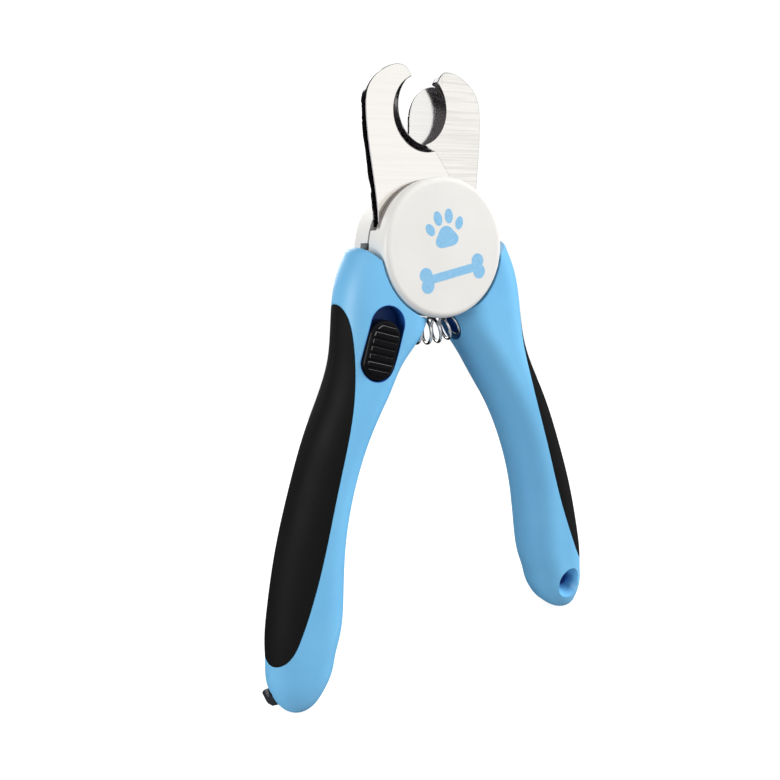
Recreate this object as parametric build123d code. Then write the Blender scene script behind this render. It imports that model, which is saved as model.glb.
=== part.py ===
from build123d import *
import math
import os

# Plier-type pet nail clipper: two crossed steel levers on one pivot, each with a
# moulded handle, a soft grip, a stored nail file, a lock slider and a nail guard.
# Millimetres. +Z runs up along the jaws, +X to the right lever's handle, +Y to the rear.
# Every function works about the pivot axis with y = 0 at the plane where the two
# blades meet; save() then moves the part so that the origin is the centre of the
# rear cover's outer face.

# ---- driving dimensions -------------------------------------------------------
HALF_STACK = 9.4            # from the meeting plane to either cover's outer face
BLADE_T = 3.2               # thickness of each lever's steel
GAP = 0.05                  # running clearance between moving faces

COVER_R = 17.5
COVER_PLATE = 2.8
COVER_WALL = 1.8
COVER_ROUND = 1.6
HANDLE_ARC_R = COVER_R + 0.55

NOTCH_R = 9.0               # half-round cutting notch in each jaw
NOTCH_X = 2.0
NOTCH_Z = 34.8
BEVEL_SHIFT_X = 3.4         # how far the notch leans over through the blade
BEVEL_SHIFT_Z = 2.1
HUB_R = 13.2
NIB_R = 16.5                # catch on the front blade that the lock bolt holds
NIB_START = 240.0
NIB_END = 248.3

BUSHING_R = 3.5
BOLT_R = 2.0
BOLT_HEAD_R = 3.8
BOLT_HEAD_T = 2.2
WASHER_R = 6.0
WASHER_T = 0.5
NUT_FLATS = 7.0
NUT_T = 2.2

GUARD_T = 1.0
GUARD_LEAN = 10.0           # degrees clockwise from +Z, in line with the rear blade
GUARD_REACH = 33.4
GUARD_TIP_R = 7.8
GUARD_HUB_R = 7.5

HANDLE_TOP_Z = 1.6
HANDLE_END_X = 46.6
HANDLE_END_Z = -119.0
HANDLE_HALF_T = 8.5         # half thickness at the two ends
HANDLE_BELLY = 0.8          # how much more it has half way down
HANDLE_ROUND = 8.2
SHOULDER_CUT = [(21.9, 6.0), (21.6, 1.4), (16.6, -3.4), (8.0, -3.4), (8.0, 6.0)]
GRIP_T = 2.0
GRIP_SEAM = 0.2

SPRING_ARC_R = 21.6         # the coil lies on an arc of this radius about the pivot
SPRING_SPAN = 22.0          # degrees that it reaches to either side of straight down
SPRING_R = 3.4              # to the middle of the wire
SPRING_WIRE = 0.85
SPRING_TURNS = 6
SPRING_POINTS = 12          # spline points in each turn
POCKET_R = 4.6
POCKET_LENGTH = 9.0
POCKET_SPAN = SPRING_SPAN + 1.2

SLOT_X = -18.95             # lock slider's slot in the left handle
SLOT_Z = -22.15
SLOT_LEAN = 18.6            # degrees from +Z, leaning towards the pivot
SLOT_L = 19.1
SLOT_W = 9.2
SLIDER_L = 15.3
SLIDER_W = 8.7
SLIDER_TRAVEL = 3.4
SLIDER_TOP = 9.3
RIB_COUNT = 7
RIB_PITCH = 1.85
RIB_H = 0.6
RIB_W = 1.15
RIB_ROUND = 0.3
RIB_INSET = 1.0             # how far a rib stops short of the slider's side
SLOT_FLOOR = 4.3            # from the meeting plane; the bolt moves under this floor
BOLT_TONGUE_N = 5.6         # the tongue's offset across the slot
BOLT_TONGUE_W = 3.2
BOLT_TONGUE_END = 9.3

FILE_X = -47.7              # bottom of the file's axis, in the left handle's end
FILE_Z = -118.0
FILE_LEAN = 10.4            # degrees from +Z, leaning towards the pivot
FILE_W = 7.0
FILE_T = 1.2
FILE_L = 58.0
CAP_T = 3.2

LANYARD_X = 44.9
LANYARD_Z = -108.3
LANYARD_R = 2.2
MOUTH_START = 4.4           # where the funnel at either end of the hole begins, from y = 0
MOUTH_DEPTH = 5.0
MOUTH_HEIGHT = 6.6
MOUTH_FLARE = 26.0          # degrees

ANCHOR_HOLES = [(21.0, -26.0), (25.2, -40.0)]
ANCHOR_R = 2.0

# a handle's sides seen from the front, as (z, inner x, outer x) from the top down, drawn for the
# right handle; the left one is its mirror image with a fuller nose under the disc
RIGHT_NOSE = [(HANDLE_TOP_Z, 2.0, 22.6), (-4.0, 2.0, 25.2), (-9.0, 2.8, 26.9), (-15.0, 4.3, 27.9),
              (-21.0, 5.8, 28.6)]
LEFT_NOSE = [(HANDLE_TOP_Z, 1.0, 22.6), (-4.0, 1.0, 25.2), (-9.0, 1.2, 26.9), (-15.0, 1.9, 27.9),
             (-21.0, 4.1, 28.6)]
HANDLE_STATIONS = [(-28.0, 10.1, 30.0), (-35.5, 14.6, 33.0), (-43.4, 19.3, 36.8),
                   (-59.1, 26.2, 42.9), (-74.9, 30.1, 48.0), (-90.6, 31.8, 51.8), (-100.0, 33.3, 53.4),
                   (-106.0, 35.2, 53.8)]
# the soft grip's edge on the front and rear faces, as (x, z)
GRIP_EDGE = [(31.5, -7.2), (27.6, -11.6), (26.0, -20.0), (28.7, -40.0), (34.0, -58.0),
             (39.3, -76.0), (46.1, -94.0), (49.8, -100.6), (56.5, -104.6)]

FRONT_VIEW = Plane((0, 0, 0), x_dir=(1, 0, 0), z_dir=(0, -1, 0))


# ---- helpers ------------------------------------------------------------------
def slab(sketch, y_low, y_high):
    """Extrude a front-view sketch from y_low to y_high."""
    face = FRONT_VIEW * sketch
    return Pos(0, y_high, 0) * extrude(face, amount=y_high - y_low)


def disc(radius, y_low, y_high):
    return slab(Circle(radius), y_low, y_high)


def polar(radius, degrees):
    angle = math.radians(degrees)
    return (radius * math.cos(angle), radius * math.sin(angle))


def sector(radius, start, end):
    """A pie slice about the pivot, from start to end degrees, anticlockwise."""
    steps = 12
    rim = [polar(radius, start + (end - start) * i / steps) for i in range(steps + 1)]
    return make_face(Polyline((0, 0), *rim, close=True))


def ring_arc(outer, inner, start, end, y_low, y_high):
    """A curved wall about the pivot axis between two angles."""
    wedge = slab(sector(outer * 2, start, end), y_low, y_high)
    return disc(outer, y_low, y_high) - disc(inner, y_low, y_high) & wedge


def mirrored(solid):
    return mirror(solid, about=Plane.YZ)


def lean_frame(x, z, lean):
    """Front-view placement at (x, z) whose own +Y leans lean degrees clockwise."""
    return Pos(x, z) * Rot(0, 0, -lean)


def save(shape, node):
    export_step(Pos(0, -HALF_STACK, 0) * shape, "parts/" + node + ".step")


# ---- blades -------------------------------------------------------------------
def jaw_outline():
    """Right-hand jaw, hub and tang of the rear blade, seen from the front."""
    outer = Spline([(15.8, 5.9), (16.6, 18.5), (17.6, 29.0), (17.6, 34.5)])
    shoulder = Spline([(17.6, 34.5), (15.7, 39.7), (11.6, 42.7), (7.9, 43.6), (5.9, 42.9)],
                      tangents=[(-0.02, 1), (-0.8, -0.65)])
    blade_foot = [(5.9, 42.9), (3.2, 39.0), (-1.4, 24.2), (-11.0, 10.2), (15.8, 5.9)]
    lines = [outer, shoulder]
    for start, end in zip(blade_foot, blade_foot[1:]):
        lines.append(Line(start, end))
    return make_face(lines)


def tang_outline():
    """The part of the rear blade that runs down inside the left handle."""
    upper = [(-9.0, 11.0), (-13.0, 3.2), (-17.6, 0.6), (-21.2, -4.4), (-24.0, -16.0),
             (-26.6, -34.0), (-32.2, -50.0)]
    lower = [(-25.6, -52.2), (-18.0, -34.0), (-14.4, -24.0), (-11.6, -16.0), (-4.0, -12.0)]
    return make_face(Polyline(*upper, *lower, close=True))


def notch_cutter(side, y_edge, y_back):
    """Leaning cylinder that leaves a sharp edge at y_edge and a wide bevel at y_back."""
    depth = y_back - y_edge
    lean = Vector(side * BEVEL_SHIFT_X, BLADE_T * math.copysign(1, depth), -BEVEL_SHIFT_Z)
    start = Pos(-side * NOTCH_X, y_edge, NOTCH_Z) * Rot(90, 0, 0) * Circle(NOTCH_R)
    forward = extrude(start, amount=lean.length * 1.5, dir=lean.normalized())
    backward = extrude(start, amount=lean.length * 0.5, dir=-lean.normalized())
    return forward + backward


def anchor_holes(side):
    """Holes in the tang that the handle's plastic fills."""
    sketch = Sketch()
    for x, z in ANCHOR_HOLES:
        sketch += Pos(side * x, z) * Circle(ANCHOR_R)
    return sketch


def rear_blade():
    plan = jaw_outline() + Circle(HUB_R) + tang_outline() - anchor_holes(-1) - Circle(BUSHING_R)
    blade = slab(plan, GAP, GAP + BLADE_T)
    return blade - notch_cutter(1, GAP, GAP + BLADE_T)


def front_blade():
    """The rear blade's mirror image, with the lock's catch nib on its hub."""
    nib = (Circle(NIB_R) & sector(NIB_R * 2, NIB_START, NIB_END)) - Circle(HUB_R - 1)
    plan = mirror(jaw_outline() + Circle(HUB_R) + tang_outline(), about=Plane.YZ)
    plan = plan + nib - anchor_holes(1) - Circle(BUSHING_R + GAP)
    blade = slab(plan, -BLADE_T, 0)
    return blade - notch_cutter(-1, 0, -BLADE_T)


# ---- pivot --------------------------------------------------------------------
WASHER_FRONT_Y = -BLADE_T - GAP
GUARD_Y = GAP + BLADE_T + GAP
STACK_END_Y = GUARD_Y + GUARD_T + GAP


def pivot_bushing():
    return disc(BUSHING_R, WASHER_FRONT_Y, STACK_END_Y) - disc(BOLT_R, WASHER_FRONT_Y, STACK_END_Y)


def front_washer():
    low = WASHER_FRONT_Y - WASHER_T
    return disc(WASHER_R, low, WASHER_FRONT_Y) - disc(BOLT_R, low, WASHER_FRONT_Y)


def guard_spring_washer():
    """Dished ring that presses the guard against the rear blade."""
    high = STACK_END_Y + WASHER_T
    ring = disc(WASHER_R, STACK_END_Y, high) - disc(BOLT_R, STACK_END_Y, high)
    return chamfer(ring.edges().filter_by(GeomType.CIRCLE).sort_by(Axis.Y)[-2:], 0.25)


def rear_washer():
    low = STACK_END_Y + WASHER_T
    return disc(WASHER_R - 0.8, low, low + WASHER_T) - disc(BOLT_R, low, low + WASHER_T)


def pivot_nut():
    low = STACK_END_Y + 2 * WASHER_T
    hexagon = RegularPolygon(NUT_FLATS / 2, 6, major_radius=False)
    nut = slab(hexagon, low, low + NUT_T) - disc(BOLT_R, low, low + NUT_T)
    return nut & (disc(NUT_FLATS * 0.57, low, low + NUT_T))


def pivot_bolt():
    seat = WASHER_FRONT_Y - WASHER_T
    head = disc(BOLT_HEAD_R, seat - BOLT_HEAD_T, seat)
    head = fillet(head.edges().sort_by(Axis.Y)[0], 1.2)
    shank = disc(BOLT_R, seat, STACK_END_Y + 2 * WASHER_T + NUT_T)
    socket = slab(RegularPolygon(1.25, 6, major_radius=False), seat - BOLT_HEAD_T - 1, seat - 0.9)
    return head + shank - socket


# ---- nail guard -----------------------------------------------------------------
def guard_plate():
    """Polished tongue behind the notch that stops the nail; it swings on the pivot."""
    tip_x, tip_z = polar(GUARD_REACH, 90 - GUARD_LEAN)
    half = GUARD_TIP_R - 1.4
    neck = Rot(0, 0, -GUARD_LEAN) * make_face(Polyline(
        (-half + 0.6, 0), (-half, 20), (-GUARD_TIP_R, GUARD_REACH - 1),
        (GUARD_TIP_R, GUARD_REACH - 1), (half, 20), (half - 0.6, 0), close=True))
    plan = neck + Pos(tip_x, tip_z) * Circle(GUARD_TIP_R) + Circle(GUARD_HUB_R) - Circle(BUSHING_R + GAP)
    return slab(plan, GUARD_Y, GUARD_Y + GUARD_T)


# ---- covers -------------------------------------------------------------------
SKIRT_TOP = 17.5            # degrees above the horizontal where each skirt stops
SKIRT_LOW = -7.0            # where the deep part of the skirt stops
TANG_TOP = 7.5              # where a cover's wall closes again above the other lever's tang
FRONT_WALL_END = 29.0       # the closed front jaw comes down to just above this
REAR_WALL_END = 52.0        # the rear jaw's left edge is just beyond this
EDGE_GAP = 0.4              # from a deep wall to the plane where the blades meet


def cover_wall(start, end, y_low, y_high):
    return ring_arc(COVER_R, COVER_R - COVER_WALL, start, end, y_low, y_high)


def cover_ring(y_low, y_high):
    return disc(COVER_R, y_low, y_high) - disc(COVER_R - COVER_WALL, y_low, y_high)


def front_cover():
    """White cap over the bolt head; its wall stops short of the front blade as it swings."""
    face_y = -HALF_STACK
    inner_y = face_y + COVER_PLATE
    plate = disc(COVER_R, face_y, inner_y)
    plate = fillet(plate.edges().sort_by(Axis.Y)[0], COVER_ROUND)
    ring = cover_ring(inner_y, -BLADE_T - 0.2)
    skirt = cover_wall(180 - SKIRT_TOP, 180 - SKIRT_LOW, inner_y, -EDGE_GAP)
    corner = cover_wall(TANG_TOP, FRONT_WALL_END, inner_y, -EDGE_GAP)
    seat = WASHER_FRONT_Y - WASHER_T
    boss = disc(BOLT_HEAD_R + 2.0, inner_y, seat) - disc(BOLT_HEAD_R, inner_y, seat)
    return plate + ring + skirt + corner + boss


def rear_cover():
    """White cap over the nut; its wall stops short of the guard and closes beside the rear blade."""
    face_y = HALF_STACK
    inner_y = face_y - COVER_PLATE
    plate = disc(COVER_R, inner_y, face_y)
    plate = fillet(plate.edges().sort_by(Axis.Y)[-1], COVER_ROUND)
    ring = cover_ring(GUARD_Y + GUARD_T + 0.1, inner_y)
    skirt = cover_wall(SKIRT_LOW, SKIRT_TOP, EDGE_GAP, inner_y)
    corner = cover_wall(180 - REAR_WALL_END, 180 - TANG_TOP, EDGE_GAP, inner_y)
    pocket_r = NUT_FLATS * 0.57
    washer_y = STACK_END_Y + 2 * WASHER_T
    boss = disc(pocket_r + 1.8, washer_y, inner_y) - disc(pocket_r, washer_y, inner_y)
    nut_pocket = disc(pocket_r, inner_y, washer_y + NUT_T + 0.05)
    return plate + ring + skirt + corner + boss - nut_pocket


# ---- handles ------------------------------------------------------------------
def half_thickness(z):
    """The handle is thickest half way down."""
    along = min(1.0, max(0.0, (HANDLE_TOP_Z - z) / (HANDLE_TOP_Z - HANDLE_END_Z)))
    return HANDLE_HALF_T + HANDLE_BELLY * math.sin(math.pi * along)


def handle_section(z, x_low, x_high, half_t, rounding):
    width = x_high - x_low
    radius = min(rounding, width / 2 - 0.05, half_t - 0.05)
    return Pos((x_low + x_high) / 2, 0, z) * RectangleRounded(width, 2 * half_t, radius)


def end_sections():
    """Sections that shrink along a quarter ellipse to close the handle's end."""
    z_start, x_low, x_high = HANDLE_STATIONS[-1]
    middle = (x_low + x_high) / 2
    last = math.radians(84)
    steps = 6
    sections = []
    for step in range(1, steps + 1):
        angle = last * step / steps
        rise = math.sin(angle) / math.sin(last)
        z = z_start + (HANDLE_END_Z - z_start) * rise
        centre = middle + (HANDLE_END_X - middle) * rise
        half_width = (x_high - x_low) / 2 * math.cos(angle) ** 0.9
        shrink = math.cos(angle) ** 0.45
        sections.append(handle_section(z, centre - half_width, centre + half_width,
                                       half_thickness(z) * shrink, HANDLE_ROUND * shrink))
    return sections


def handle_blank(nose):
    """A handle as one rounded solid, before its recesses are cut, drawn as the right one."""
    sections = [handle_section(z, low, high, half_thickness(z), HANDLE_ROUND)
                for z, low, high in nose + HANDLE_STATIONS]
    body = loft(sections + end_sections())
    body = fillet(body.faces().sort_by(Axis.Z)[-1].edges(), 3.0)
    reach = 2 * HANDLE_HALF_T
    shoulder = slab(make_face(Polyline(*SHOULDER_CUT, close=True)), -reach, reach)
    return body - shoulder - disc(HANDLE_ARC_R, -reach, reach)


def grip_zone(shift):
    """Everything outside the grip's edge, moved outwards by shift."""
    edge = Spline([(x + shift, z) for x, z in GRIP_EDGE])
    far = 80
    rest = Polyline(edge @ 1, (far, GRIP_EDGE[-1][1]), (far, GRIP_EDGE[0][1]), edge @ 0)
    return slab(make_face([edge, rest]), -2 * HANDLE_HALF_T, 2 * HANDLE_HALF_T)


def grip_core(blank):
    """The stiff plastic that lies under the grip."""
    depth = HANDLE_HALF_T + HANDLE_BELLY - GRIP_T
    slice_box = Box(200, 2 * depth, 400)
    return Pos(-GRIP_T, 0, 0) * blank & slice_box


def handle_and_grip(blank):
    core = grip_core(blank)
    handle = (blank - grip_zone(0)) + (blank & grip_zone(0) & core)
    grip = (blank & grip_zone(GRIP_SEAM)) - core
    return handle, grip


def spring_pocket():
    """Round blind pocket in the handle's inner side, square to the spring's end."""
    pocket = Pos(-POCKET_LENGTH / 2, 0, -SPRING_ARC_R) * Rot(0, 90, 0) * Cylinder(POCKET_R, POCKET_LENGTH)
    return Rot(0, -POCKET_SPAN, 0) * pocket


def lanyard_mouth(side):
    """Upright obround funnel at the hole's front (-1) or rear (1) end."""
    start = Plane((LANYARD_X, side * MOUTH_START, LANYARD_Z), x_dir=(1, 0, 0), z_dir=(0, side, 0))
    sketch = start * Rot(0, 0, 90) * SlotOverall(MOUTH_HEIGHT, 2 * LANYARD_R)
    return extrude(sketch, amount=MOUTH_DEPTH, taper=-MOUTH_FLARE)


def lanyard_hole():
    hole = Pos(LANYARD_X, 0, LANYARD_Z) * Rot(90, 0, 0) * Cylinder(LANYARD_R, 4 * HANDLE_HALF_T)
    return hole + lanyard_mouth(-1) + lanyard_mouth(1)


def right_handle(handle):
    tang = slab(mirror(tang_outline(), about=Plane.YZ) - anchor_holes(1), -BLADE_T, 0)
    return handle - tang - spring_pocket() - lanyard_hole()


# ---- lock ---------------------------------------------------------------------
def in_slot(sketch):
    """Place a sketch drawn about the slot's middle, its +Y towards the disc."""
    return lean_frame(SLOT_X, SLOT_Z, SLOT_LEAN) * sketch


def obround(length, width):
    return Rot(0, 0, 90) * SlotOverall(length, width)


def block(x_low, x_high, z_low, z_high):
    middle = Pos((x_low + x_high) / 2, (z_low + z_high) / 2)
    return middle * Rectangle(x_high - x_low, z_high - z_low)


SLIDER_REST = (SLIDER_L - SLOT_L) / 2 + 0.2
TONGUE_LOW = BOLT_TONGUE_N - BOLT_TONGUE_W / 2
TONGUE_HIGH = BOLT_TONGUE_N + BOLT_TONGUE_W / 2
BOLT_PLATE = (-2.6, TONGUE_HIGH, -4.2, 1.4)
POST = 2.4
POST_SLIT = POST / 2 + 0.25
DETENT_X = -(SLIDER_W / 2 + 0.75)


def lock_pocket():
    """Slot for the slider with a slit for its post, and the bolt's room under the slot's floor."""
    slot = slab(in_slot(obround(SLOT_L, SLOT_W)), -2 * HANDLE_HALF_T, -SLOT_FLOOR)
    slit = block(-POST_SLIT, POST_SLIT, SLIDER_REST - POST_SLIT, SLIDER_REST + POST_SLIT + SLIDER_TRAVEL)
    slot += slab(in_slot(slit), -SLOT_FLOOR - 0.1, -BLADE_T)
    low, high, bottom, top = BOLT_PLATE
    room = block(low - 0.3, high + 0.3, bottom - 0.3, top + SLIDER_TRAVEL + 0.3)
    tongue_way = block(TONGUE_LOW - 0.3, TONGUE_HIGH + 0.3, 0, BOLT_TONGUE_END + SLIDER_TRAVEL + 1)
    detent_room = slab(in_slot(block(DETENT_X - 0.45, -SLOT_W / 2 + 0.3, -6.2, 2.8)), -7.3, -SLOT_FLOOR)
    return slot + slab(in_slot(room + tongue_way), -BLADE_T - 0.1, GAP) + detent_room


def lock_slider():
    """Ribbed thumb button with a post that carries the bolt."""
    outline = in_slot(Pos(0, SLIDER_REST) * obround(SLIDER_L, SLIDER_W))
    button = slab(outline, -SLIDER_TOP, -SLOT_FLOOR - 0.1)
    button = fillet(button.edges().filter_by_position(Axis.Y, -SLIDER_TOP - 0.1, -SLIDER_TOP + 0.1), 0.8)
    ribbed = Pos(0, SLIDER_REST) * obround(SLIDER_L - 2 * RIB_INSET, SLIDER_W - 2 * RIB_INSET)
    for index in range(RIB_COUNT):
        offset = SLIDER_REST + (index - (RIB_COUNT - 1) / 2) * RIB_PITCH
        rib = Pos(0, offset) * RectangleRounded(SLIDER_W, RIB_W, RIB_ROUND) & ribbed
        button += slab(in_slot(rib), -SLIDER_TOP - RIB_H, -SLIDER_TOP + 0.5)
    post = slab(in_slot(Pos(0, SLIDER_REST) * Rectangle(POST, POST)), -SLOT_FLOOR - 0.2, -0.3)
    return button + post


def lock_bolt():
    """L-shaped steel plate whose tongue drops behind the front blade's nib."""
    plate = block(*BOLT_PLATE) + block(TONGUE_LOW, TONGUE_HIGH, 0, BOLT_TONGUE_END)
    plate = plate - Pos(0, SLIDER_REST) * Rectangle(POST, POST)
    return slab(in_slot(plate), -BLADE_T + 0.1, -0.2)


def lock_detent_spring():
    """Bent steel strip beside the slider that holds it at either end."""
    strip = block(DETENT_X - 0.3, DETENT_X, -5.9, 2.5)
    bump = Pos(DETENT_X, SLIDER_REST) * Circle(0.6) & block(DETENT_X - 0.2, DETENT_X + 0.62, -6, 3)
    return slab(in_slot(strip + bump), -7.0, -SLOT_FLOOR - 0.3)


# ---- nail file ------------------------------------------------------------------
def on_file(sketch):
    """Place a sketch drawn along the file: +Y up the handle, +X to the inner side."""
    return lean_frame(FILE_X, FILE_Z, FILE_LEAN) * sketch


CAP_TOP = 7.5
CAP_HALF_W = 4.6
HORN_TOP = 4.4


def file_blade():
    """Round-ended steel strip with a cross-cut face on both sides."""
    length = FILE_L - FILE_W / 2
    plan = block(-FILE_W / 2, FILE_W / 2, 1.5, length) + Pos(0, length) * Circle(FILE_W / 2)
    return slab(on_file(plan), -FILE_T / 2, FILE_T / 2)


def horn_outline():
    """The blunt hook for the thumbnail that stands out of the handle's side."""
    top = Polyline((-CAP_HALF_W + 1, HORN_TOP), (-7.4, 3.9))
    tip = Spline([(-7.4, 3.9), (-8.3, 3.0), (-7.6, 1.8)], tangents=[(-1, -0.2), (0.5, -0.85)])
    foot = Polyline((-7.6, 1.8), (-6.3, 0.8), (-CAP_HALF_W + 1, 0.8), (-CAP_HALF_W + 1, HORN_TOP))
    return make_face([top, tip, foot])


def file_cap(blank):
    """Plastic grip of the file: flush with the handle's end, with a horn at its side."""
    body = slab(on_file(block(-CAP_HALF_W, CAP_HALF_W, -6, CAP_TOP)), -CAP_T / 2, CAP_T / 2) & blank
    horn = slab(on_file(horn_outline()), -CAP_T / 2, CAP_T / 2)
    horn = chamfer(horn.edges().filter_by(Plane.XZ).sort_by(Axis.X)[0:2], 0.4)
    return body + horn - file_blade()


def file_recess():
    """Channel for the strip, with room for the cap and its horn to come out downwards."""
    side = FILE_W / 2 + 0.2
    channel = slab(on_file(block(-side, side, -8, FILE_L + 0.5)), -FILE_T / 2 - 0.15, FILE_T / 2 + 0.15)
    mouth = block(-CAP_HALF_W - 0.2, CAP_HALF_W + 0.2, -12, CAP_TOP + 0.2)
    mouth += block(-20, 0, -12, HORN_TOP + 0.2)
    return channel + slab(on_file(mouth), -CAP_T / 2 - 0.15, CAP_T / 2 + 0.15)


def left_handle(handle):
    tang = slab(tang_outline() - anchor_holes(-1), GAP, GAP + BLADE_T)
    return handle - tang - mirrored(spring_pocket()) - lock_pocket() - file_recess()


# ---- handle spring ---------------------------------------------------------------
def spring_centre_line():
    """Helix bent along an arc about the pivot, so that its ends are square to the handles."""
    steps = SPRING_POINTS * SPRING_TURNS
    points = []
    for step in range(steps + 1):
        share = step / steps
        arc = math.radians(SPRING_SPAN * (2 * share - 1))
        turn = 2 * math.pi * SPRING_TURNS * share
        radius = SPRING_ARC_R + SPRING_R * math.cos(turn)
        points.append((radius * math.sin(arc), SPRING_R * math.sin(turn), -radius * math.cos(arc)))
    return Spline(*points)


def handle_spring():
    """Compression spring that pushes the handles apart."""
    line = spring_centre_line()
    return sweep(Plane(origin=line @ 0, z_dir=line % 0) * Circle(SPRING_WIRE / 2), path=line)


def main():
    os.makedirs("parts", exist_ok=True)
    handle, grip = handle_and_grip(handle_blank(RIGHT_NOSE))
    save(right_handle(handle), "right_handle")
    save(grip, "right_grip")
    left_blank = mirrored(handle_blank(LEFT_NOSE))
    handle, grip = handle_and_grip(mirrored(left_blank))
    save(left_handle(mirrored(handle)), "left_handle")
    save(mirrored(grip), "left_grip")
    save(file_cap(left_blank), "file_cap")
    for maker in (rear_blade, front_blade, pivot_bushing, front_washer, guard_spring_washer,
                  rear_washer, pivot_nut, pivot_bolt, guard_plate, front_cover, rear_cover,
                  lock_slider, lock_bolt, lock_detent_spring, file_blade, handle_spring):
        save(maker(), maker.__name__)


main()
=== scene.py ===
"""A plier-type nail clipper for pets: materials, fine pieces and studio around the CAD frame."""

import bmesh
import bpy
import math
from mathutils import Matrix, Vector


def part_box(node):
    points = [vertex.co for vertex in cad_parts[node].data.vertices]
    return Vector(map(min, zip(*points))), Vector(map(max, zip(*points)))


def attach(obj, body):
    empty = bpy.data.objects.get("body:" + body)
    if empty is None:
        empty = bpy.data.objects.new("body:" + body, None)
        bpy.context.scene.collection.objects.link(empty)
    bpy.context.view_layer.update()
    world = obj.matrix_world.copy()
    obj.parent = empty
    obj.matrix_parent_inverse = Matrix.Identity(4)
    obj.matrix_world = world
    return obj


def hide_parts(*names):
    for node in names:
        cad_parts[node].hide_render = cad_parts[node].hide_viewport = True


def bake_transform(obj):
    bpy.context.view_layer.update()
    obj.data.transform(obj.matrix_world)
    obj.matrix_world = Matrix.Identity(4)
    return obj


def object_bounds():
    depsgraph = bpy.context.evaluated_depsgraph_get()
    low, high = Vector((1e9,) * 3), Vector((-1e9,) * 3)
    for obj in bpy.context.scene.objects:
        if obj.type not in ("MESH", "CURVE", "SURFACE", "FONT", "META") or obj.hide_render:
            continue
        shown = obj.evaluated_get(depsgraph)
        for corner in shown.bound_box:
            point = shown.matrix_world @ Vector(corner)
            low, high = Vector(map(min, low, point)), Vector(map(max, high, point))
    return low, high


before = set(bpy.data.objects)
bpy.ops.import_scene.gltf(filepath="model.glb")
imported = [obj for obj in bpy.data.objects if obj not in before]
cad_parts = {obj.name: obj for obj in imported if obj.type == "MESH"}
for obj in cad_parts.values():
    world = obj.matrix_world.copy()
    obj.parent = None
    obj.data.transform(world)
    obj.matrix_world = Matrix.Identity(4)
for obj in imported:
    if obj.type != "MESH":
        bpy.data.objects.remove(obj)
CAD_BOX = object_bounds()

MM = 0.001

# Camera: where it stands (m), how it is turned, and its lens (mm, on a 36 mm sensor)
CAMERA_AT = (-0.0891, -0.1535, 0.0019)
CAMERA_TURN = math.radians(-27.79)
CAMERA_DOWN = math.radians(13.19)
CAMERA_ROLL = math.radians(-2.73)
CAMERA_LENS = 28.79
SENSOR_WIDTH = 36.0
NEAREST_SEEN = 0.005

# Studio air: its strength to the eye, as soft light, and in mirrors where the room is dark
AIR_SEEN = 1.02
AIR_SOFT = 0.20
AIR_DARK = 0.02
DARK_BEHIND = (-0.02, 0.14)     # the room darkens over this span of Y, as a direction
SHADE_BELOW = (-0.16, 0.02)     # and towards the table over this span of Z
TABLE_SHADE = 0.55

# Table top: how far it reaches (m), its two greys, and how bright it looks to the eye
FLOOR_BACK = 0.26
FLOOR_FRONT = 1.6
FLOOR_SIDE = 1.2
FLOOR_GREYS = (0.34, 0.37)
FLOOR_GLOW = 0.86

# Soft lights, all aimed at one point: name, place (m), width (m), power (W), mirrored by steel
LIGHT_TARGET = (0.0, 0.0, -0.03)
LIGHTS = [
    ("key_light", (0.68, -0.54, 0.46), 0.5, 12.2, False),
    ("left_light", (-0.85, -0.12, 0.14), 0.4, 5.4, True),
    ("rear_light", (0.14, 0.95, 0.36), 0.7, 7.0, True),
]

# Handle spring: a coil on an arc about the pivot, with closed turns at its ends; the wire is a radius
SPRING_ARC = 21.6 * MM
SPRING_SPAN = math.radians(22.0)
SPRING_RADIUS = 3.4 * MM
SPRING_WIRE = 0.425 * MM
SPRING_TURNS = 5.2
END_TURNS = 0.75
END_ARC = math.radians(1.9)
SPRING_STEPS = 44

# Nail file: its axis leaves this point and leans towards the pivot
FILE_FOOT = (-47.7 * MM, -118.0 * MM)
FILE_LEAN = math.radians(10.4)
FILE_HALF_W = 3.5 * MM
FILE_HALF_T = 0.6 * MM
FILE_START = 1.5 * MM
FILE_END = 58.0 * MM
FILE_PLAIN = 10.5 * MM
FILE_RIM = 0.45 * MM
FILE_STEP = 0.16 * MM
TOOTH_PITCH = 0.95 * MM
TOOTH_DEPTH = 0.15 * MM
TOOTH_ANGLE = math.radians(32.0)

# Breaks along the sharp edges of CAD nodes: their width, the sharpest bend left alone, the weld's reach
EDGE_BREAKS = {"front_blade": 0.26 * MM, "rear_blade": 0.26 * MM, "guard_plate": 0.12 * MM,
               "lock_slider": 0.12 * MM}
BREAK_STEPS = 2
BREAK_BEND = math.radians(38.0)
WELD_REACH = 0.001 * MM

# Painted shade on the front cover's wall beside the jaw: from this height up, and this far out from the
# jaw
SEAM_LOW = 5.2 * MM
SEAM_HEIGHT = 2.2 * MM

# How far down the ribs of the slider the painted highlight reaches
RIB_HIGHLIGHT_REACH = 0.40 * MM

# The recesses below get a painted deeper blue shade.
# Recesses in the handles: the lock slider's slot (X and Z of its middle, lean, half its width, half its
# straight sides), the spring's pockets, and the cord hole (X and Z, where it is deep and where it ends)
SLOT_AT = (-18.95 * MM, -22.15 * MM)
SLOT_LEAN = math.radians(18.6)
SLOT_HALF = 4.6 * MM
SLOT_STRAIGHT = 4.95 * MM
POCKET_RADIUS = 4.6 * MM
POCKET_TOP = -17.0 * MM
CORD_HOLE = (44.9 * MM, -108.3 * MM)
HOLE_DEEP = 2.0 * MM
HOLE_EDGE = 3.9 * MM

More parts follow.
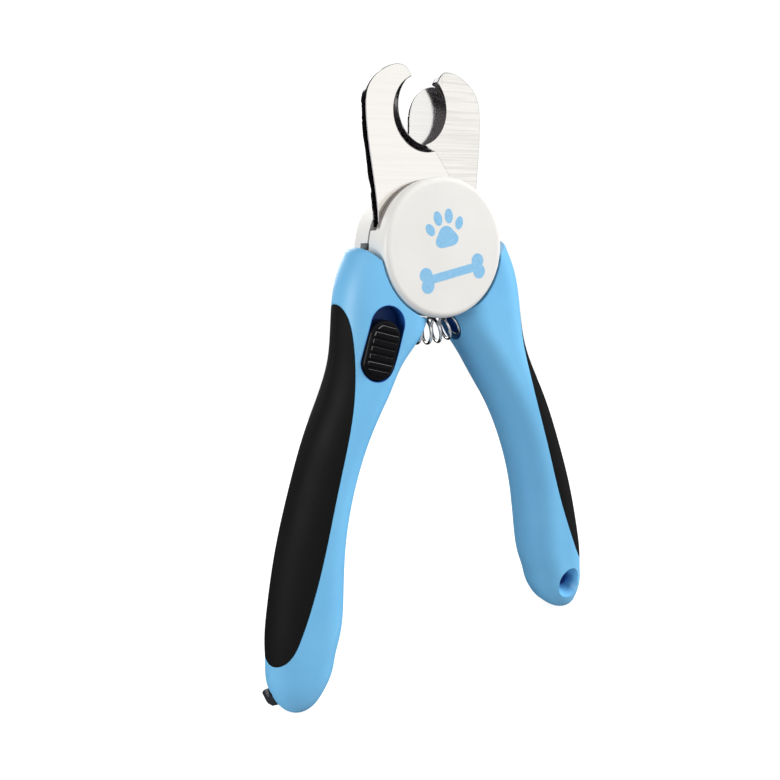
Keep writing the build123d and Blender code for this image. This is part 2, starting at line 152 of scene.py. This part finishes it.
# Print on the front cover, in its own frame about the cover's middle
PRINT_TILT = math.radians(10.0)
PRINT_RISE = 0.04 * MM
PRINT_ROOT = 0.02 * MM
PAW_SIZE = 1.12
PAW_AT = (0.5 * MM, 4.2 * MM)
PAW_TOES = [(1.45, 3.1, 1.05, 1.6, 0.12), (3.9, 1.1, 1.0, 1.45, 0.45)]    # X, Z, half sizes, lean
BONE_AT = (0.6 * MM, -6.4 * MM)
BONE_REACH = 8.0 * MM           # from the middle to the knobs
BONE_APART = 1.4 * MM           # half the distance between an end's two knobs
BONE_KNOB = 1.85 * MM
BONE_BAR = 1.1 * MM             # half the bar's width


# ---------------------------------------------------------------- node helpers


def srgb(red, green, blue):
    """A colour given as 0..255 screen values, as the linear RGBA that sockets take."""
    def linear(value):
        value /= 255.0
        if value <= 0.04045:
            return value / 12.92
        return ((value + 0.055) / 1.055) ** 2.4

    return (linear(red), linear(green), linear(blue), 1.0)


def new_material(name, **sockets):
    """A node material whose shader sockets hold the given values: Metallic, Roughness and so on."""
    material = bpy.data.materials.new(name)
    material.use_nodes = True
    tree = material.node_tree
    shader = tree.nodes["Principled BSDF"]
    for socket, value in sockets.items():
        shader.inputs[socket.replace("_", " ")].default_value = value
    return material, tree, shader


def noise(tree, per_metre, detail=2.0, stretch=(1.0, 1.0, 1.0), turn=0.0, rough=0.5):
    """Noise in the object's own metres, stretched along its axes after a turn about Y."""
    coordinates = tree.nodes.new("ShaderNodeTexCoord")
    mapping = tree.nodes.new("ShaderNodeMapping")
    mapping.vector_type = "TEXTURE"
    mapping.inputs["Rotation"].default_value = (0.0, turn, 0.0)
    mapping.inputs["Scale"].default_value = stretch
    texture = tree.nodes.new("ShaderNodeTexNoise")
    texture.inputs["Scale"].default_value = per_metre
    texture.inputs["Detail"].default_value = detail
    texture.inputs["Roughness"].default_value = rough
    tree.links.new(coordinates.outputs["Object"], mapping.inputs["Vector"])
    tree.links.new(mapping.outputs["Vector"], texture.inputs["Vector"])
    return texture.outputs["Fac"]


def span(tree, value, low, high, from_low=0.0, from_high=1.0, smooth=False):
    """value, between from_low and from_high, mapped to low..high."""
    node = tree.nodes.new("ShaderNodeMapRange")
    node.interpolation_type = "SMOOTHSTEP" if smooth else "LINEAR"
    node.inputs["From Min"].default_value = from_low
    node.inputs["From Max"].default_value = from_high
    node.inputs["To Min"].default_value = low
    node.inputs["To Max"].default_value = high
    tree.links.new(value, node.inputs["Value"])
    return node.outputs["Result"]


def combine(tree, operation, first, second):
    """A maths node on two values, each a socket or a number."""
    node = tree.nodes.new("ShaderNodeMath")
    node.operation = operation
    for slot, value in enumerate((first, second)):
        if isinstance(value, (int, float)):
            node.inputs[slot].default_value = value
        else:
            tree.links.new(value, node.inputs[slot])
    return node.outputs["Value"]


def place_on(tree, kind="Object"):
    """The X, Y and Z of a texture coordinate: Object, Normal or Generated."""
    coordinates = tree.nodes.new("ShaderNodeTexCoord")
    split = tree.nodes.new("ShaderNodeSeparateXYZ")
    tree.links.new(coordinates.outputs[kind], split.inputs["Vector"])
    return split.outputs["X"], split.outputs["Y"], split.outputs["Z"]


def distance(tree, first, second):
    """The length of the step made of two sides at right angles."""
    squares = combine(tree, "ADD", combine(tree, "MULTIPLY", first, first),
                      combine(tree, "MULTIPLY", second, second))
    return combine(tree, "SQRT", squares, 0.0)


def blend_colours(tree, factor, first, second):
    """first where factor is 0, second where it is 1; each is a colour or a socket."""
    node = tree.nodes.new("ShaderNodeMix")
    node.data_type = "RGBA"
    tree.links.new(factor, node.inputs["Factor"])
    for slot, colour in (("A", first), ("B", second)):
        socket = [s for s in node.inputs if s.name == slot and s.type == "RGBA"][0]
        if isinstance(colour, tuple):
            socket.default_value = colour
        else:
            tree.links.new(colour, socket)
    return [s for s in node.outputs if s.type == "RGBA"][0]


def bump(tree, height, depth, strength, under=None):
    """A bump of the given depth in metres, over another bump if under is given."""
    node = tree.nodes.new("ShaderNodeBump")
    node.inputs["Distance"].default_value = depth
    node.inputs["Strength"].default_value = strength
    tree.links.new(height, node.inputs["Height"])
    if under is not None:
        tree.links.new(under, node.inputs["Normal"])
    return node.outputs["Normal"]


def dress(tree, shader, colour, roughness, normal=None):
    """Links the finished colour, roughness and normal to the shader."""
    for socket, output in (("Base Color", colour), ("Roughness", roughness), ("Normal", normal)):
        if output is not None:
            tree.links.new(output, shader.inputs[socket])


def scratches(tree, turn, per_metre=900.0):
    """Sparse hairline marks, 1 on a mark and 0 elsewhere."""
    lines = noise(tree, per_metre, detail=1.0, stretch=(22.0, 22.0, 1.0), turn=turn)
    patches = noise(tree, 70.0, detail=2.0)
    marks = span(tree, lines, 0.0, 1.0, 0.70, 0.74)
    return combine(tree, "MULTIPLY", marks, span(tree, patches, 0.0, 1.0, 0.50, 0.62))


# ------------------------------------------------------------------- materials


def moulded_plastic(name, deep, lit, roughness, grain=0.012 * MM, mask=None, painted_light_colour=None, **sockets):
    """Satin moulded plastic: cloudy colour, fine mould grain, handling marks, and a colour of painted
    light where masked.
    """
    material, tree, shader = new_material(name, **sockets)
    cloud = noise(tree, 55.0, detail=3.0)
    speck = noise(tree, 2600.0, detail=2.0)
    colour = blend_colours(tree, span(tree, cloud, 0.0, 1.0, 0.3, 0.7), deep, lit)
    marks = combine(tree, "MAXIMUM", scratches(tree, 0.6), scratches(tree, -0.9, 700.0))
    worn = tuple(min(1.0, 0.75 * c + 0.25) for c in lit[:3]) + (1.0,)
    colour = blend_colours(tree, combine(tree, "MULTIPLY", marks, 0.18), colour, worn)
    # Where masked, a painted shade or painted highlight colour goes in, depending on the caller.
    if mask is not None:
        colour = blend_colours(tree, mask(tree), colour, painted_light_colour)
    smudge = noise(tree, 120.0, detail=4.0)
    rough = combine(tree, "ADD", span(tree, smudge, roughness - 0.05, roughness + 0.07, 0.3, 0.7),
                    span(tree, speck, -0.03, 0.03))
    normal = bump(tree, speck, grain, 0.6)
    normal = bump(tree, noise(tree, 260.0, detail=1.0), 0.02 * MM, 0.35, under=normal)
    dress(tree, shader, colour, rough, normal)
    return material


def rubber(name):
    """Matt black overmoulded rubber: fine skin grain, dust in it, rubbed smoother where held."""
    material, tree, shader = new_material(name, Specular_IOR_Level=0.12)
    grain = noise(tree, 3200.0, detail=3.0, rough=0.6)
    dust = span(tree, noise(tree, 1500.0, detail=4.0, rough=0.7), 0.0, 1.0, 0.60, 0.74)
    held = noise(tree, 48.0, detail=2.0)
    colour = blend_colours(tree, span(tree, held, 0.0, 1.0, 0.35, 0.7),
                           srgb(12, 13, 12), srgb(16, 17, 16))
    colour = blend_colours(tree, combine(tree, "MULTIPLY", dust, 0.18), colour, srgb(56, 55, 52))
    rough = combine(tree, "ADD", span(tree, held, 0.60, 0.76, 0.3, 0.7), span(tree, grain, -0.06, 0.06))
    dress(tree, shader, colour, rough, bump(tree, grain, 0.05 * MM, 0.55))
    return material


def brushed_steel(name, tint, roughness, lines=1.0, turn=0.0, dark_wall_reflection=None):
    """Ground steel: fine lines across it, and a dark reflection painted on a blade's walls and edge
    breaks when asked.

    When a painted wall reflection is given, the front blade is polished finer than the rear one.
    """
    material, tree, shader = new_material(name, Metallic=1.0)
    fine = noise(tree, 5200.0, detail=2.0, stretch=(60.0, 60.0, 1.0), turn=turn)
    broad = noise(tree, 1500.0, detail=2.0, stretch=(90.0, 90.0, 1.0), turn=turn)
    both = combine(tree, "ADD", combine(tree, "MULTIPLY", fine, 0.5),
                   combine(tree, "MULTIPLY", broad, 0.5))
    shade = tuple(c * 0.86 for c in tint[:3]) + (1.0,)
    marks = span(tree, both, 0.0, lines, 0.56, 0.42)
    spots = noise(tree, 160.0, detail=4.0)
    rough = combine(tree, "ADD", span(tree, spots, roughness - 0.03, roughness + 0.05, 0.3, 0.7),
                    span(tree, fine, -0.03, 0.04))
    if dark_wall_reflection is not None:
        rear = rear_mask(tree)
        marks = combine(tree, "MULTIPLY", marks, span(tree, rear, 0.25, 1.0))
        rough = combine(tree, "ADD", rough, span(tree, rear, 0.0, 0.08))
    colour = blend_colours(tree, marks, tint, shade)
    if dark_wall_reflection is not None:
        colour = blend_colours(tree, painted_reflection_mask(tree), colour, dark_wall_reflection)
    normal = bump(tree, both, 0.004 * MM, 0.4 * lines)
    dress(tree, shader, colour, rough, normal)
    return material


def rear_mask(tree):
    """1 behind the plane where the two blades meet, 0 in front of it."""
    y = place_on(tree)[1]
    meeting = pivot_point().y
    return span(tree, y, 0.0, 1.0, meeting - 0.05 * MM, meeting + 0.05 * MM)


def painted_reflection_mask(tree):
    """1 on walls, sloping notches and edge breaks, where a dark reflection is painted; 0 on the flat
    faces across Y.
    """
    facing = combine(tree, "ABSOLUTE", place_on(tree, "Normal")[1], 0.0)
    return span(tree, facing, 1.0, 0.0, 0.80, 0.93)


def painted_seam_shade_mask(tree):
    """1 on the foot of the front cover's wall beside the jaw, where a grey shade is painted."""
    _, y, z = place_on(tree)
    above = span(tree, z, 0.0, 1.0, SEAM_LOW, SEAM_LOW + 0.8 * MM)
    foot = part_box("front_blade")[0][1]
    near = span(tree, y, 0.0, 1.0, foot - SEAM_HEIGHT, foot - SEAM_HEIGHT + 0.5 * MM)
    front = span(tree, y, 1.0, 0.0, foot, foot + 0.1 * MM)
    return combine(tree, "MULTIPLY", combine(tree, "MULTIPLY", above, near), front)


def painted_rib_highlight_mask(tree):
    """1 on the upward-facing edges of the slider's ribs, where a grey highlight is painted."""
    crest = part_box("lock_slider")[0][1]
    top = span(tree, place_on(tree)[1], 1.0, 0.0, crest + RIB_HIGHLIGHT_REACH, crest + RIB_HIGHLIGHT_REACH + 0.1 * MM)
    up = span(tree, place_on(tree, "Normal")[2], 0.0, 1.0, 0.15, 0.45)
    return combine(tree, "MULTIPLY", top, up)


def hole_mask(tree):
    """1 deep in the cord hole of the right handle, where a deeper blue shade is painted."""
    x, _, z = place_on(tree)
    beside = combine(tree, "SUBTRACT", x, CORD_HOLE[0])
    above = combine(tree, "SUBTRACT", z, CORD_HOLE[1])
    return span(tree, distance(tree, beside, above), 1.0, 0.0, HOLE_DEEP, HOLE_EDGE, smooth=True)


def slot_mask(tree):
    """1 inside the lock slider's slot in the left handle, where a deeper blue shade is painted."""
    coordinates = tree.nodes.new("ShaderNodeTexCoord")
    offset = tree.nodes.new("ShaderNodeVectorMath")
    offset.operation = "SUBTRACT"
    offset.inputs[1].default_value = (SLOT_AT[0], 0.0, SLOT_AT[1])
    upright = tree.nodes.new("ShaderNodeVectorRotate")
    upright.rotation_type = "Y_AXIS"
    upright.inputs["Angle"].default_value = -SLOT_LEAN
    split = tree.nodes.new("ShaderNodeSeparateXYZ")
    tree.links.new(coordinates.outputs["Object"], offset.inputs[0])
    tree.links.new(offset.outputs["Vector"], upright.inputs["Vector"])
    tree.links.new(upright.outputs["Vector"], split.inputs["Vector"])
    along = combine(tree, "ABSOLUTE", split.outputs["Z"], 0.0)
    beyond = combine(tree, "MAXIMUM", combine(tree, "SUBTRACT", along, SLOT_STRAIGHT), 0.0)
    far = distance(tree, split.outputs["X"], beyond)
    inside = span(tree, far, 1.0, 0.0, SLOT_HALF, SLOT_HALF + 0.3 * MM, smooth=True)
    front = combine(tree, "SUBTRACT", 1.0, rear_mask(tree))
    return combine(tree, "MULTIPLY", inside, front)


def pocket_mask(tree):
    """1 inside the spring's pockets in both handles."""
    x, y, z = place_on(tree)
    beyond = combine(tree, "SUBTRACT", distance(tree, x, z), SPRING_ARC)
    beside = combine(tree, "SUBTRACT", y, pivot_point().y)
    inside = span(tree, distance(tree, beyond, beside), 1.0, 0.0,
                  POCKET_RADIUS - 0.2 * MM, POCKET_RADIUS + 0.2 * MM)
    below = span(tree, z, 1.0, 0.0, POCKET_TOP, POCKET_TOP + 1.0 * MM)
    return combine(tree, "MULTIPLY", inside, below)


def painted_recess_shade_mask(tree):
    """1 in the handles' holes and pockets, where a deeper blue shade is painted."""
    pockets = combine(tree, "MAXIMUM", slot_mask(tree), pocket_mask(tree))
    return combine(tree, "MAXIMUM", pockets, hole_mask(tree))


def plated_steel(name, tint, roughness):
    """Plated wire and fasteners: small pits and drawing marks."""
    material, tree, shader = new_material(name, Metallic=1.0)
    pits = noise(tree, 2200.0, detail=3.0)
    cloud = noise(tree, 300.0, detail=2.0)
    shade = tuple(c * 0.8 for c in tint[:3]) + (1.0,)
    colour = blend_colours(tree, span(tree, cloud, 0.0, 1.0, 0.35, 0.7), tint, shade)
    rough = combine(tree, "ADD", span(tree, cloud, roughness - 0.04, roughness + 0.08, 0.3, 0.7),
                    span(tree, pits, -0.03, 0.05))
    dress(tree, shader, colour, rough, bump(tree, pits, 0.01 * MM, 0.4))
    return material


def printed_ink(name):
    """Pad-printed light blue ink: even, with the slight mottle of the print."""
    material, tree, shader = new_material(name)
    mottle = noise(tree, 900.0, detail=3.0)
    colour = blend_colours(tree, span(tree, mottle, 0.0, 1.0, 0.35, 0.7),
                           srgb(132, 188, 226), srgb(146, 198, 232))
    rough = span(tree, mottle, 0.38, 0.52, 0.3, 0.7)
    dress(tree, shader, colour, rough, bump(tree, mottle, 0.006 * MM, 0.4))
    return material


def make_plastics():
    """The moulded plastics by the record's slot name."""
    return {
        "handle_plastic": moulded_plastic(
            "sky_blue_plastic", srgb(112, 185, 231), srgb(120, 192, 236), 0.42,
            # The deep blue in the handles' recesses is painted shade.
            mask=painted_recess_shade_mask, painted_light_colour=srgb(26, 80, 160), Specular_IOR_Level=0.45),
        "cover_plastic": moulded_plastic(
            "white_cover_plastic", srgb(229, 227, 223), srgb(235, 233, 229), 0.40, grain=0.006 * MM,
            # The grey on the cover's wall beside the jaw is painted shade.
            mask=painted_seam_shade_mask, painted_light_colour=srgb(112, 104, 100), Specular_IOR_Level=0.40),
        "lock_plastic": moulded_plastic(
            "black_lock_plastic", srgb(8, 8, 10), srgb(13, 13, 16), 0.26,
            # The grey on the slider's rib edges is a painted highlight.
            mask=painted_rib_highlight_mask, painted_light_colour=srgb(120, 120, 122), Specular_IOR_Level=0.10),
        "file_cap_plastic": moulded_plastic(
            "ink_blue_cap_plastic", srgb(24, 25, 34), srgb(32, 33, 44), 0.45),
        "washer_plastic": moulded_plastic(
            "natural_nylon", srgb(222, 218, 205), srgb(232, 228, 216), 0.45),
    }


def make_metals():
    """The steels by the record's slot name."""
    return {
        # The dark wall tones of the blade and guard steel are painted reflection.
        "blade_steel": brushed_steel("ground_blade_steel", (0.95, 0.925, 0.88, 1.0), 0.09,
                                     dark_wall_reflection=(0.10, 0.095, 0.105, 1.0)),
        "guard_steel": brushed_steel("polished_guard_steel", (0.92, 0.90, 0.88, 1.0), 0.08, lines=0.4,
                                     dark_wall_reflection=(0.30, 0.29, 0.29, 1.0)),
        "file_steel": brushed_steel("file_steel", (0.62, 0.60, 0.57, 1.0), 0.34, turn=FILE_LEAN),
        "spring_steel": plated_steel("spring_wire_steel", (0.93, 0.92, 0.90, 1.0), 0.14),
        "fastener_steel": plated_steel("fastener_steel", (0.60, 0.59, 0.57, 1.0), 0.30),
    }


def make_materials():
    """Every material by the record's slot name, and the ink."""
    others = {"grip_rubber": rubber("black_grip_rubber"), "ink": printed_ink("light_blue_ink")}
    return {**make_plastics(), **make_metals(), **others}


def paint_nodes(materials):
    """Gives each CAD node the material of its slot."""
    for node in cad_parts.values():
        for index, slot in enumerate(node.data.materials):
            node.data.materials[index] = materials[slot.name.split(".")[0]]


# ---------------------------------------------------------------------- pieces


def mesh_piece(name, shape, material):
    """Turns a bmesh into an object with one material."""
    mesh = bpy.data.meshes.new(name)
    bmesh.ops.recalc_face_normals(shape, faces=shape.faces)
    shape.to_mesh(mesh)
    shape.free()
    mesh.materials.append(material)
    piece = bpy.data.objects.new(name, mesh)
    bpy.context.scene.collection.objects.link(piece)
    return piece


def add_tube(shape, path, radius, sides=12):
    """A closed tube of the given radius along a list of points."""
    rings = []
    across = Vector((0.0, 1.0, 0.0))
    for index, point in enumerate(path):
        ahead = path[min(index + 1, len(path) - 1)] - path[max(index - 1, 0)]
        ahead.normalize()
        across = (across - ahead * across.dot(ahead)).normalized()
        side = ahead.cross(across)
        ring = []
        for step in range(sides):
            angle = 2.0 * math.pi * step / sides
            outwards = math.cos(angle) * across + math.sin(angle) * side
            ring.append(shape.verts.new(point + radius * outwards))
        rings.append(ring)
    for first, second in zip(rings, rings[1:]):
        for step in range(sides):
            after = (step + 1) % sides
            face = shape.faces.new((first[step], first[after], second[after], second[step]))
            face.smooth = True
    shape.faces.new(rings[0])
    shape.faces.new(rings[-1])


def pivot_point():
    """The pivot axis at the middle of the stack."""
    low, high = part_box("handle_spring")
    return Vector((0.0, (low[1] + high[1]) / 2.0, 0.0))


def spring_path():
    """The coil's centre line along its arc: open turns between two closed end turns."""
    centre = pivot_point()
    turns = SPRING_TURNS + 2.0 * END_TURNS
    points = []
    for step in range(int(turns * SPRING_STEPS) + 1):
        turn = step / SPRING_STEPS
        if turn < END_TURNS:
            arc = -SPRING_SPAN + END_ARC * turn / END_TURNS
        elif turn > turns - END_TURNS:
            arc = SPRING_SPAN - END_ARC * (turns - turn) / END_TURNS
        else:
            share = (turn - END_TURNS) / SPRING_TURNS
            arc = (2.0 * share - 1.0) * (SPRING_SPAN - END_ARC)
        angle = 2.0 * math.pi * turn
        reach = SPRING_ARC + SPRING_RADIUS * math.cos(angle)
        points.append(centre + Vector((reach * math.sin(arc), SPRING_RADIUS * math.sin(angle),
                                       -reach * math.cos(arc))))
    return points


def make_spring(materials):
    """The steel coil that opens the handles, built in place between the two levers."""
    shape = bmesh.new()
    add_tube(shape, spring_path(), SPRING_WIRE)
    spring = mesh_piece("opening_spring_coil", shape, materials["spring_steel"])
    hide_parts("handle_spring")
    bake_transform(spring)


def file_half_width(along):
    """Half the strip's width at a distance from its foot; the far end is round."""
    past = along - (FILE_END - FILE_HALF_W)
    if past <= 0.0:
        return FILE_HALF_W
    return math.sqrt(max(FILE_HALF_W ** 2 - past ** 2, 0.0))


def tooth_height(along, across, half_width):
    """Height of the cross-cut teeth, 0 in a groove and 1 on the plain surface."""
    edge = min(along - FILE_PLAIN, half_width - abs(across) - FILE_RIM, FILE_END - FILE_RIM - along)
    if edge <= 0.0:
        return 1.0
    cuts = []
    for side in (1.0, -1.0):
        place = along * math.cos(TOOTH_ANGLE) + side * across * math.sin(TOOTH_ANGLE)
        cuts.append(abs(2.0 * ((place / TOOTH_PITCH) % 1.0) - 1.0))
    teeth = min(1.0, 1.25 * min(cuts))
    return 1.0 - min(1.0, edge / FILE_RIM) * (1.0 - teeth)


def make_file(materials):
    """The steel file strip, with real cross-cut teeth on both faces and a plain root."""
    shape = bmesh.new()
    middle = pivot_point().y
    up = Vector((math.sin(FILE_LEAN), 0.0, math.cos(FILE_LEAN)))
    right = Vector((math.cos(FILE_LEAN), 0.0, -math.sin(FILE_LEAN)))
    foot = Vector((FILE_FOOT[0], middle, FILE_FOOT[1]))
    rows = int((FILE_END - FILE_START) / FILE_STEP)
    columns = int(2.0 * FILE_HALF_W / FILE_STEP)
    grids = []
    for side in (1.0, -1.0):
        grid = []
        for row in range(rows + 1):
            along = FILE_START + (FILE_END - FILE_START) * row / rows
            half = max(file_half_width(along), 0.02 * MM)
            line = []
            for column in range(columns + 1):
                across = half * (2.0 * column / columns - 1.0)
                deep = TOOTH_DEPTH * (1.0 - tooth_height(along, across, half))
                place = foot + up * along + right * across
                place.y += side * (FILE_HALF_T - deep)
                line.append(shape.verts.new(place))
            grid.append(line)
        for first, second in zip(grid, grid[1:]):
            for column in range(columns):
                shape.faces.new((first[column], first[column + 1], second[column + 1], second[column]))
        grids.append(grid)
    back, front = grids
    rims = [([line[0] for line in front], [line[0] for line in back]),
            ([line[-1] for line in front], [line[-1] for line in back]),
            (front[0], back[0]), (front[-1], back[-1])]
    for near, far in rims:
        for index in range(len(near) - 1):
            shape.faces.new((near[index], near[index + 1], far[index + 1], far[index]))
    piece = mesh_piece("file_strip", shape, materials["file_steel"])
    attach(piece, "file")
    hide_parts("file_blade")


def oval(centre, half_width, half_height, turn=0.0, lobes=0.0, steps=48):
    """A closed outline: an ellipse at the given angle, with three soft lobes if asked."""
    points = []
    for step in range(steps):
        angle = 2.0 * math.pi * step / steps
        swell = 1.0 + lobes * math.cos(3.0 * (angle - math.pi / 2.0))
        x = half_width * swell * math.cos(angle)
        z = half_height * swell * math.sin(angle)
        points.append((centre[0] + x * math.cos(turn) - z * math.sin(turn),
                       centre[1] + x * math.sin(turn) + z * math.cos(turn)))
    return points


def paw_outlines():
    """A generic paw print: one pad and four toes, in metres about its own middle."""
    size = PAW_SIZE * MM
    outlines = [oval((0.0, -1.4 * size), 2.9 * size, 2.3 * size, lobes=0.13)]
    for side in (1.0, -1.0):
        for x, z, half_width, half_height, lean in PAW_TOES:
            outlines.append(oval((side * x * size, z * size), half_width * size, half_height * size,
                                 -side * lean))
    return outlines


def bone_outline(steps=14):
    """A generic bone: a bar with two round knobs at each end."""
    first = -math.asin(BONE_APART / BONE_KNOB)
    last = math.pi + math.asin((BONE_APART - BONE_BAR) / BONE_KNOB)
    corner = []
    for step in range(steps + 1):
        angle = first + (last - first) * step / steps
        corner.append((BONE_REACH + BONE_KNOB * math.cos(angle),
                       BONE_APART + BONE_KNOB * math.sin(angle)))
    top = corner + [(-x, z) for x, z in reversed(corner)]
    bottom = [(-x, -z) for x, z in top[1:-1]]
    return top + bottom


def add_print(shape, outline, face_y):
    """One printed patch: a thin prism that stands a hair proud of the cover."""
    rims = []
    for depth in (-PRINT_RISE, PRINT_ROOT):
        rims.append([shape.verts.new((x, face_y + depth, z)) for x, z in outline])
    shape.faces.new(rims[0])
    shape.faces.new(rims[1])
    for index in range(len(outline)):
        after = (index + 1) % len(outline)
        shape.faces.new((rims[0][index], rims[0][after], rims[1][after], rims[1][index]))


def make_print(materials):
    """The light blue paw and bone on the front cover."""
    face_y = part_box("front_cover")[0][1]
    shape = bmesh.new()
    patches = [(PAW_AT, outline) for outline in paw_outlines()] + [(BONE_AT, bone_outline())]
    for place, outline in patches:
        moved = []
        for across, up in outline:
            x = across + place[0]
            z = up + place[1]
            moved.append((x * math.cos(PRINT_TILT) - z * math.sin(PRINT_TILT),
                          x * math.sin(PRINT_TILT) + z * math.cos(PRINT_TILT)))
        add_print(shape, moved, face_y)
    piece = mesh_piece("cover_print", shape, materials["ink"])
    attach(piece, "left_lever")


def soften_edges(node, width):
    """A small rounded break along a CAD node's sharp edges, whose faces are welded first."""
    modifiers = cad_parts[node].modifiers
    weld = modifiers.new("edge_weld", "WELD")
    weld.merge_threshold = WELD_REACH
    bevel = modifiers.new("edge_break", "BEVEL")
    bevel.width = width
    bevel.segments = BREAK_STEPS
    bevel.limit_method = "ANGLE"
    bevel.angle_limit = BREAK_BEND
    bevel.use_clamp_overlap = False
    bevel.harden_normals = True


# ---------------------------------------------------------------------- studio


def make_world():
    """White air for the eye and soft light, with the dark room that steel mirrors behind the object."""
    world = bpy.data.worlds.new("studio")
    bpy.context.scene.world = world
    world.use_nodes = True
    tree = world.node_tree
    background = tree.nodes["Background"]
    ways = tree.nodes.new("ShaderNodeLightPath")
    _, y, z = place_on(tree, "Generated")
    behind = span(tree, y, 0.0, 1.0, *DARK_BEHIND, smooth=True)
    below = span(tree, z, TABLE_SHADE, 0.0, *SHADE_BELOW, smooth=True)
    room = span(tree, combine(tree, "MAXIMUM", behind, below), 1.0, AIR_DARK)
    mirrored = combine(tree, "MULTIPLY", room, ways.outputs["Is Glossy Ray"])
    seen = combine(tree, "MULTIPLY", ways.outputs["Is Camera Ray"], AIR_SEEN)
    soft = combine(tree, "MULTIPLY", ways.outputs["Is Diffuse Ray"], AIR_SOFT)
    total = combine(tree, "ADD", combine(tree, "ADD", mirrored, seen), soft)
    tree.links.new(total, background.inputs["Strength"])
    background.inputs["Color"].default_value = (1.0, 1.0, 1.0, 1.0)


def make_floor():
    """A white table top at the height of the handles' ends at rest; moved pieces can pass below it."""
    shape = bmesh.new()
    height = CAD_BOX[0][2]
    corners = [(-FLOOR_SIDE, -FLOOR_FRONT), (FLOOR_SIDE, -FLOOR_FRONT),
               (FLOOR_SIDE, FLOOR_BACK), (-FLOOR_SIDE, FLOOR_BACK)]
    shape.faces.new([shape.verts.new((x, y, height)) for x, y in corners])
    material, tree, shader = new_material("white_table")
    cloud = noise(tree, 4.0, detail=2.0)
    first, second = [(grey, grey, grey, 1.0) for grey in FLOOR_GREYS]
    colour = blend_colours(tree, cloud, first, second)
    dress(tree, shader, colour, span(tree, cloud, 0.75, 0.85))
    ways = tree.nodes.new("ShaderNodeLightPath")
    glow = combine(tree, "MULTIPLY", ways.outputs["Is Camera Ray"], FLOOR_GLOW)
    tree.links.new(glow, shader.inputs["Emission Strength"])
    shader.inputs["Emission Color"].default_value = (1.0, 1.0, 1.0, 1.0)
    floor = mesh_piece("table_top", shape, material)
    floor.visible_glossy = False


def make_lights():
    """A soft key from the front right, a low light that grazes from the left, and one for the back."""
    for name, place, size, power, mirrored in LIGHTS:
        light = bpy.data.lights.new(name, "AREA")
        light.shape = "SQUARE"
        light.size = size
        light.energy = power
        lamp = bpy.data.objects.new(name, light)
        lamp.location = place
        lamp.visible_glossy = mirrored
        lamp.rotation_euler = (Vector(LIGHT_TARGET) - Vector(place)).to_track_quat("-Z", "Y").to_euler()
        bpy.context.scene.collection.objects.link(lamp)


def make_camera():
    """The camera at the place and turn given above."""
    data = bpy.data.cameras.new("camera")
    data.lens = CAMERA_LENS
    data.sensor_width = SENSOR_WIDTH
    data.clip_start = NEAREST_SEEN
    camera = bpy.data.objects.new("camera", data)
    turn = Matrix.Rotation(CAMERA_TURN, 4, "Z") @ Matrix.Rotation(math.pi / 2.0 - CAMERA_DOWN, 4, "X")
    camera.matrix_world = Matrix.Translation(CAMERA_AT) @ turn @ Matrix.Rotation(CAMERA_ROLL, 4, "Z")
    bpy.context.scene.collection.objects.link(camera)
    bpy.context.scene.camera = camera


def main():
    """The whole scene around the frame."""
    materials = make_materials()
    paint_nodes(materials)
    for node, width in EDGE_BREAKS.items():
        soften_edges(node, width)
    make_spring(materials)
    make_file(materials)
    make_print(materials)
    make_world()
    make_floor()
    make_lights()
    make_camera()
    bpy.context.scene.view_settings.view_transform = "Standard"


main()
